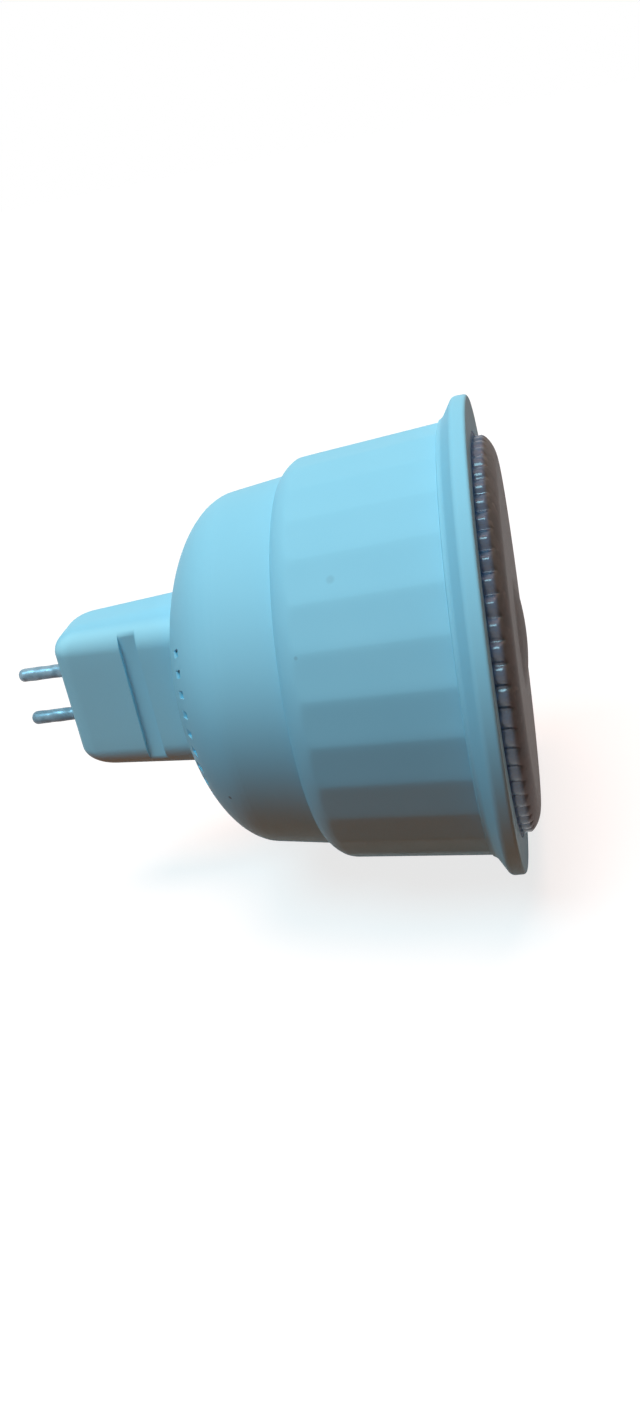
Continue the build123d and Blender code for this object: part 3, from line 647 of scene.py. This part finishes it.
spun, spun_shader, spun_place = finish("spun_aluminium", Metallic=1.0)
ring_place = (off_axis(spun_place) + spun_place.along(0)) * (1 / (TURNING_PITCH * MM))
rings = {"W": ring_place, "Scale": 1, "Detail": 3}
turning = spun_place.node("ShaderNodeTexNoise", {"noise_dimensions": "1D"}, rings)
turning.between(SPUN_GREY, SPUN_BRIGHT).feeds(spun_shader, "Base Color")
(0.25 + 0.25 * turning).feeds(spun_shader, "Roughness")
turning.relief(TURNING_DEPTH * MM).feeds(spun_shader, "Normal")
dress(spun, "heat_spreader")


# Light board: an aluminium-backed disc under white lacquer, with the broad copper tracks showing through it.
# Two screws hold it to the cup, and the chips stand in two rings on the tracks.
MASK_WHITE = (0.80, 0.80, 0.77)
MASK_DULL = (0.752, 0.752, 0.7238)
MASK_OVER_COPPER = (0.70, 0.67, 0.60)
MASK_MOTTLE = 3
MASK_PATCH = 1
TRACK_RADII = (7.5, 14.0)
TRACK_HALF_WIDTH = 2.2
TRACK_HEIGHT = 0.03
mask, mask_shader, mask_place = finish("white_lacquer")
board_radius = off_axis(mask_place)
inner_track, outer_track = (abs(board_radius - ring * MM) < TRACK_HALF_WIDTH * MM for ring in TRACK_RADII)
track = inner_track + outer_track
lacquer = mask_place.noise(MASK_MOTTLE * MM).between(MASK_DULL, MASK_WHITE)
track.between(lacquer, MASK_OVER_COPPER).feeds(mask_shader, "Base Color")
(0.35 + 0.15 * mask_place.noise(MASK_PATCH * MM)).feeds(mask_shader, "Roughness")
track.relief(TRACK_HEIGHT * MM).feeds(mask_shader, "Normal")
dress(mask, "led_board")


# Light chips: white moulded frames, each with a sunk window of yellow phosphor gel.
# They are soldered to the light board's tracks.
FRAME_WHITE = (0.85, 0.85, 0.82)
PHOSPHOR = (0.80, 0.58, 0.10)
PHOSPHOR_DEEP = (0.70, 0.48, 0.06)
WINDOW_SINK = 0.06
GEL_MOTTLE = 0.5
GEL_PATCH = 0.4
GEL_GRAIN = 0.25
GEL_DEPTH = 0.01
chip_finish, chip_shader, chip_place = finish("phosphor_window")
window = chip_place.along(0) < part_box("led_chips")[1].x - WINDOW_SINK * MM
gel = chip_place.noise(GEL_MOTTLE * MM, 3).between(PHOSPHOR_DEEP, PHOSPHOR)
window.between(FRAME_WHITE, gel).feeds(chip_shader, "Base Color")
(0.3 + 0.3 * chip_place.noise(GEL_PATCH * MM)).feeds(chip_shader, "Roughness")
chip_place.noise(GEL_GRAIN * MM).relief(GEL_DEPTH * MM).feeds(chip_shader, "Normal")
dress(chip_finish, "led_chips")


# Board screws: two slotted screws of plated steel.
# They go through the light board into the cup's floor and hold the board to it.
STEEL_GREY = (0.42, 0.43, 0.44)
STEEL_BRIGHT = (0.62, 0.63, 0.63)
STEEL_WEAR = 0.5
STEEL_DEPTH = 0.01
steel, steel_shader, steel_place = finish("plated_steel", Metallic=1.0)
steel_wear = steel_place.noise(STEEL_WEAR * MM, 3)
steel_wear.between(STEEL_GREY, STEEL_BRIGHT).feeds(steel_shader, "Base Color")
(0.22 + 0.25 * steel_wear).feeds(steel_shader, "Roughness")
steel_wear.relief(STEEL_DEPTH * MM).feeds(steel_shader, "Normal")
dress(steel, "board_screws")


# Wires: two stranded wires in soft plastic, one red and one black.
# They run from the driver board through the cup's hole and lie bent over on the light board.
RED_SHEATH = (0.42, 0.025, 0.02)
BLACK_SHEATH = (0.025, 0.025, 0.028)
SHEATH_RUB = 0.7
SHEATH_DEPTH = 0.02
for node, colour in (("led_lead_plus", RED_SHEATH), ("led_lead_minus", BLACK_SHEATH)):
    sheath, sheath_shader, sheath_place = finish(f"{node}_sheath")
    rub = sheath_place.noise(SHEATH_RUB * MM, 3)
    rub.between([0.8 * c for c in colour], [1.2 * c for c in colour]).feeds(sheath_shader, "Base Color")
    (0.35 + 0.25 * rub).feeds(sheath_shader, "Roughness")
    rub.relief(SHEATH_DEPTH * MM).feeds(sheath_shader, "Normal")
    dress(sheath, node)


# Lens: moulded plastic, with a low boss, a rounded shoulder and a foot that sits in the rim.
# Its smoky brown is painted shade: it stands in for the dark brown surroundings seen through the lens.
# Sixty ribs stand inside the foot, with glossy teeth over them outside. There the band is painted dark blue:
# a painted view of the blue shell and the shade behind the lens's wall.
# Rings of small pillows on its inside spread the light.
# Painted shade: the lens's two browns stand in for the dark brown surroundings seen through it
PAINTED_SEEN_BROWN = (0.164, 0.149, 0.126)
PAINTED_SEEN_BROWN_DEEP = (0.116, 0.105, 0.089)
HAZE = 1.6
FLECK = (0.270, 0.235, 0.190)
FLECK_SIZE = 1.1
FLECK_STRENGTH = 0.6
SPECK = (0.02, 0.018, 0.016)
SPECK_PITCH = 2.4
SPECK_STRENGTH = 0.7
# Painted: the band over the ribs is dark blue, standing in for the blue shell and the shade behind the wall
PAINTED_RIB_BAND_BLUE = (0.006, 0.105, 0.290)
BAND_START = 48.2
BAND_END = 48.8
GLOSS_FADE = 0.2
LENS_FOOT = 45.9
LENS_DOME = 47.3
LENS_RADIUS = 21.17
LENS_WALL = 1.3
LENS_SHOULDER = 3.2
LENS_RISE = 2.35
LENS_FRONT = LENS_DOME + LENS_RISE
LENS_FLAT = LENS_RADIUS - LENS_SHOULDER
FOOT_CHAMFER = 0.05
FOOT_ROWS = 6
SHOULDER_ROWS = 26
SHOULDER_ROWS_INSIDE = 22
BOSS_RADIUS = 6.0
BOSS_HEIGHT = 0.7
BOSS_ROWS = 14
FACE_ROWS = 8
FACE_GAP = 0.05
RIBS = 60
RIB_HEIGHT = 0.45
RIB_HALF_WIDTH = 0.285
GAP_COLUMNS = (0.55, 0.80, 0.95, 1.05, 1.20, 1.45)
TOOTH_TIP = 20.75
TOOTH_ROOT = 20.20
TOOTH_FOOT = 47.5
TOOTH_STEP = 0.04
PILLOW_PITCH = 1.7
PILLOW_HEIGHT = 0.12
PILLOW_ROWS = 5
FEWEST_PILLOWS = 6

lens_finish, lens_shader, lens_place = finish(
    "lens_painted_brown",
    Transmission_Weight=0.4,
    IOR=1.49,
    Specular_IOR_Level=0.0005,
    Coat_IOR=1.75,
    Coat_Roughness=0.12,
)
cells = {"Vector": lens_place, "Scale": 1 / (SPECK_PITCH * MM)}
specks = 1 - lens_place.node("ShaderNodeTexVoronoi", {}, cells, "Distance").fade(0.06, 0.12)
haze = lens_place.noise(HAZE * MM, 3)
# Painted shade: the brown, streaked at random, stands in for the surroundings seen through the lens
streaked = haze.fade(0.35, 0.65).between(PAINTED_SEEN_BROWN_DEEP, PAINTED_SEEN_BROWN)
flecks = lens_place.noise(FLECK_SIZE * MM).fade(0.60, 0.72)
flecked = (FLECK_STRENGTH * flecks).between(streaked, FLECK)
specked = (SPECK_STRENGTH * specks).between(flecked, SPECK)
# Over the ribs the colour is the painted dark blue of the shell and shade behind the wall, and the coat gives
# gloss
ribbed = 1 - lens_place.along(0).fade(BAND_START * MM, BAND_END * MM)
ribbed.between(specked, PAINTED_RIB_BAND_BLUE).feeds(lens_shader, "Base Color")
(0.36 + 0.10 * haze).feeds(lens_shader, "Roughness")
above_foot = lens_place.along(0).fade(TOOTH_FOOT * MM, (TOOTH_FOOT + GLOSS_FADE) * MM)
(ribbed * above_foot).feeds(lens_shader, "Coat Weight")

# Columns: rib root, flank, tip, flank and root, and six more across the gap to the next rib
inner_radius = LENS_RADIUS - LENS_WALL
rib_turn = 2 * pi / RIBS
rib_side = RIB_HALF_WIDTH / inner_radius
rib_columns = np.array([-rib_side, -rib_side / 2, 0, rib_side / 2, rib_side])
gap_columns = np.array(GAP_COLUMNS) * rib_turn / 2
lens_turn = (np.arange(RIBS)[:, None] * rib_turn + np.append(rib_columns, gap_columns)).ravel()
off_rib = np.abs((lens_turn + rib_turn / 2) % rib_turn - rib_turn / 2)

# Outside: the boss is a ball's cap, and a flat ring and a quarter of an ellipse lead from it to the foot
boss_sphere = (BOSS_RADIUS**2 + BOSS_HEIGHT**2) / (2 * BOSS_HEIGHT)
boss_r = np.linspace(FACE_GAP, BOSS_RADIUS, BOSS_ROWS)
boss_x = LENS_FRONT + BOSS_HEIGHT - boss_sphere + np.sqrt(boss_sphere**2 - boss_r**2)
face_r = np.linspace(BOSS_RADIUS + FACE_GAP, LENS_FLAT, FACE_ROWS)
foot_bend = np.arccos((TOOTH_FOOT - np.array([0, TOOTH_STEP]) - LENS_DOME) / LENS_RISE)
bend = np.union1d(np.linspace(0, pi / 2, SHOULDER_ROWS)[1:], foot_bend)
shoulder_x = LENS_DOME + LENS_RISE * np.cos(bend)
shoulder_r = LENS_FLAT + LENS_SHOULDER * np.sin(bend)
outer = np.vstack(
    [
        np.column_stack([boss_x, boss_r]),
        np.column_stack([np.full(FACE_ROWS, LENS_FRONT), face_r]),
        np.column_stack([shoulder_x, shoulder_r]),
        (LENS_FOOT + 2 * FOOT_CHAMFER, LENS_RADIUS),
        (LENS_FOOT + FOOT_CHAMFER, LENS_RADIUS),
        (LENS_FOOT, LENS_RADIUS - FOOT_CHAMFER),
    ]
)
outer_x, outer_r = outer[:, :1], outer[:, 1:]
# Teeth: over each rib the outside is the nearer of the shoulder and a tooth, which falls by a parabola
tooth = TOOTH_ROOT + (TOOTH_TIP - TOOTH_ROOT) * (1 - (off_rib / (rib_turn / 2)) ** 2)
toothed_r = np.where(outer_x < TOOTH_FOOT - TOOTH_STEP / 2, outer_r, np.minimum(outer_r, tooth))

# Inside: the foot's wall, a smaller quarter of an ellipse, and a flat in to the axis
foot_x = np.linspace(LENS_FOOT + FOOT_CHAMFER, LENS_DOME, FOOT_ROWS)
under = np.linspace(pi / 2, 0, SHOULDER_ROWS_INSIDE)[1:]
under_x = LENS_DOME + (LENS_RISE - LENS_WALL) * np.cos(under)
under_r = LENS_FLAT + (LENS_SHOULDER - LENS_WALL) * np.sin(under)
pillow_step = PILLOW_PITCH / PILLOW_ROWS
pillow_r = np.arange(LENS_FLAT - pillow_step, 2 * FACE_GAP, -pillow_step)
inner = np.vstack(
    [
        (LENS_FOOT, inner_radius + FOOT_CHAMFER),
        np.column_stack([foot_x, np.full(FOOT_ROWS, inner_radius)]),
        np.column_stack([under_x, under_r]),
        np.column_stack([np.full(len(pillow_r), LENS_FRONT - LENS_WALL), pillow_r]),
    ]
)
inner_x, inner_r = inner[:, :1], inner[:, 1:]
# Ribs: the inside is the nearer of the wall and the rib, whose height falls evenly from its tip to its root
rib_face = inner_radius - RIB_HEIGHT * np.clip(1 - off_rib * inner_radius / RIB_HALF_WIDTH, 0, 1)
on_face = inner_r < LENS_FLAT
ribbed_r = np.where(on_face, inner_r, np.minimum(inner_r, rib_face))
# Pillows: along the inside's length each ring swells and sinks once, and round it once for each pitch. They
# stand along the outline's normal, which is its slope turned by a quarter.
step = np.hypot(np.diff(inner[:, 0]), np.diff(inner[:, 1]))
length = np.concatenate([[0], np.cumsum(step)])
length = (length[-1] - length)[:, None]
ring_number = np.floor(length / PILLOW_PITCH)
ring_count = np.maximum(FEWEST_PILLOWS, np.round(2 * pi * (ring_number + 0.5)))
swell = np.sin(pi * length / PILLOW_PITCH) ** 2 * (0.5 + 0.5 * np.cos(ring_count * lens_turn))
pillow = np.where(on_face, PILLOW_HEIGHT * swell, 0)
slope = np.gradient(inner, axis=0)
normal = np.column_stack([-slope[:, 1], slope[:, 0]]) / np.linalg.norm(slope, axis=1, keepdims=True)
inner_grid = turned(inner_x + normal[:, :1] * pillow, ribbed_r + normal[:, 1:] * pillow, lens_turn)
lens_grid = np.concatenate([turned(outer_x, toothed_r, lens_turn), inner_grid])
skin("ribbed_lens", lens_grid, lens_finish, "lens_plastic", "lens")


# Floor: a wide sheet of pale paper under the lamp, which shows white and keeps the lamp's shadow.
# What it throws back on the lamp is a low warm brown.
FLOOR_HALF = 6.0
BOUNCE = (0.333, 0.083, 0.033, 1)
PAPER = (0.30, 0.30, 0.30, 1)
PAPER_GLOW = 0.78
WHITE = (1, 1, 1, 1)
floor_mesh = bpy.data.meshes.new("floor")
floor_mesh.from_pydata(
    [(x * FLOOR_HALF, y * FLOOR_HALF, cad_low.z) for x, y in ((-1, -1), (1, -1), (1, 1), (-1, 1))],
    [],
    [(0, 1, 2, 3)],
)
floor = bpy.data.objects.new("floor", floor_mesh)
bpy.context.scene.collection.objects.link(floor)


def shown_rays(tree):
    """1 for a ray from the camera, off gloss or through the lens, which sees the background, and 0 for other
    light."""
    tree.nodes.clear()
    path = tree.nodes.new("ShaderNodeLightPath").outputs
    return Shade(path["Is Camera Ray"]) + Shade(path["Is Glossy Ray"]) + Shade(path["Is Transmission Ray"])


paper = bpy.data.materials.new("pale_paper")
paper.use_nodes = True
paper_shown = shown_rays(paper.node_tree)
bounce = paper_shown.node("ShaderNodeBsdfDiffuse", {}, {"Color": BOUNCE})
sheet = paper_shown.node("ShaderNodeBsdfDiffuse", {}, {"Color": PAPER})
glow = paper_shown.node("ShaderNodeEmission", {}, {"Color": WHITE, "Strength": PAPER_GLOW})
white_sheet = paper_shown.node("ShaderNodeAddShader", {}, {0: sheet, 1: glow})
paper_surface = paper_shown.node("ShaderNodeMixShader", {}, {0: paper_shown, 1: bounce, 2: white_sheet})
paper_surface.feeds(paper.node_tree.nodes.new("ShaderNodeOutputMaterial"), "Surface")
floor_mesh.materials.append(paper)


# Studio: a white backdrop that gives the lamp itself hardly any light, and two broad soft lights.
# A warm one hangs overhead, and a cool one, like a window, stands high on the left of the camera.
AMBIENT = (0.03, 0.03, 0.03, 1)
LIGHT_SPREAD = radians(30)
# Each light's name, colour, strength, elevation, azimuth from the camera's side, and whether gloss shows it
LIGHTS = (
    ("overhead", (1.0, 0.63, 0.51), 2.57, radians(88), radians(-35), False),
    ("window", (0.42, 0.84, 1.0), 1.89, radians(60), radians(-35), True),
)
world = bpy.data.worlds.new("studio")
world.use_nodes = True
bpy.context.scene.world = world
world_shown = shown_rays(world.node_tree)
ambient = world_shown.node("ShaderNodeBackground", {}, {"Color": AMBIENT, "Strength": 1.0})
backdrop = world_shown.node("ShaderNodeBackground", {}, {"Color": WHITE, "Strength": 1.0})
world_surface = world_shown.node("ShaderNodeMixShader", {}, {0: world_shown, 1: ambient, 2: backdrop})
world_surface.feeds(world.node_tree.nodes.new("ShaderNodeOutputWorld"), "Surface")
for name, colour, strength, elevation, azimuth, glossy in LIGHTS:
    light = bpy.data.lights.new(name, "SUN")
    light.angle = LIGHT_SPREAD
    light.color = colour
    light.energy = strength
    stand = bpy.data.objects.new(name, light)
    stand.visible_glossy = glossy
    bpy.context.scene.collection.objects.link(stand)
    level = cos(elevation)
    toward = Vector((sin(azimuth) * level, -cos(azimuth) * level, sin(elevation)))
    stand.rotation_euler = toward.to_track_quat("Z", "Y").to_euler()


# Camera: its place, aim, lean and focal length were fitted to the photograph's outline and pins.
# It stands at one side of the lamp, a little towards the lens, and looks down at it.
CAMERA_PLACE = Vector((53.62, -125.21, 51.30)) * MM
CAMERA_AIM = Vector((26.96, 0.0, -6.21)) * MM
CAMERA_LEAN = radians(11.983)
CAMERA_NEAREST = 1.0
FOCAL_PIXELS = 1273.5
PHOTO_HEIGHT = 1423
camera_data = bpy.data.cameras.new("camera")
camera_data.lens = camera_data.sensor_width * FOCAL_PIXELS / PHOTO_HEIGHT
camera_data.clip_start = CAMERA_NEAREST * MM
camera = bpy.data.objects.new("camera", camera_data)
bpy.context.scene.collection.objects.link(camera)
look = (CAMERA_AIM - CAMERA_PLACE).to_track_quat("-Z", "Y").to_matrix().to_4x4()
camera.matrix_world = Matrix.Translation(CAMERA_PLACE) @ look @ Matrix.Rotation(-CAMERA_LEAN, 4, "Z")
bpy.context.scene.camera = camera
bpy.context.scene.view_settings.view_transform = "Standard"
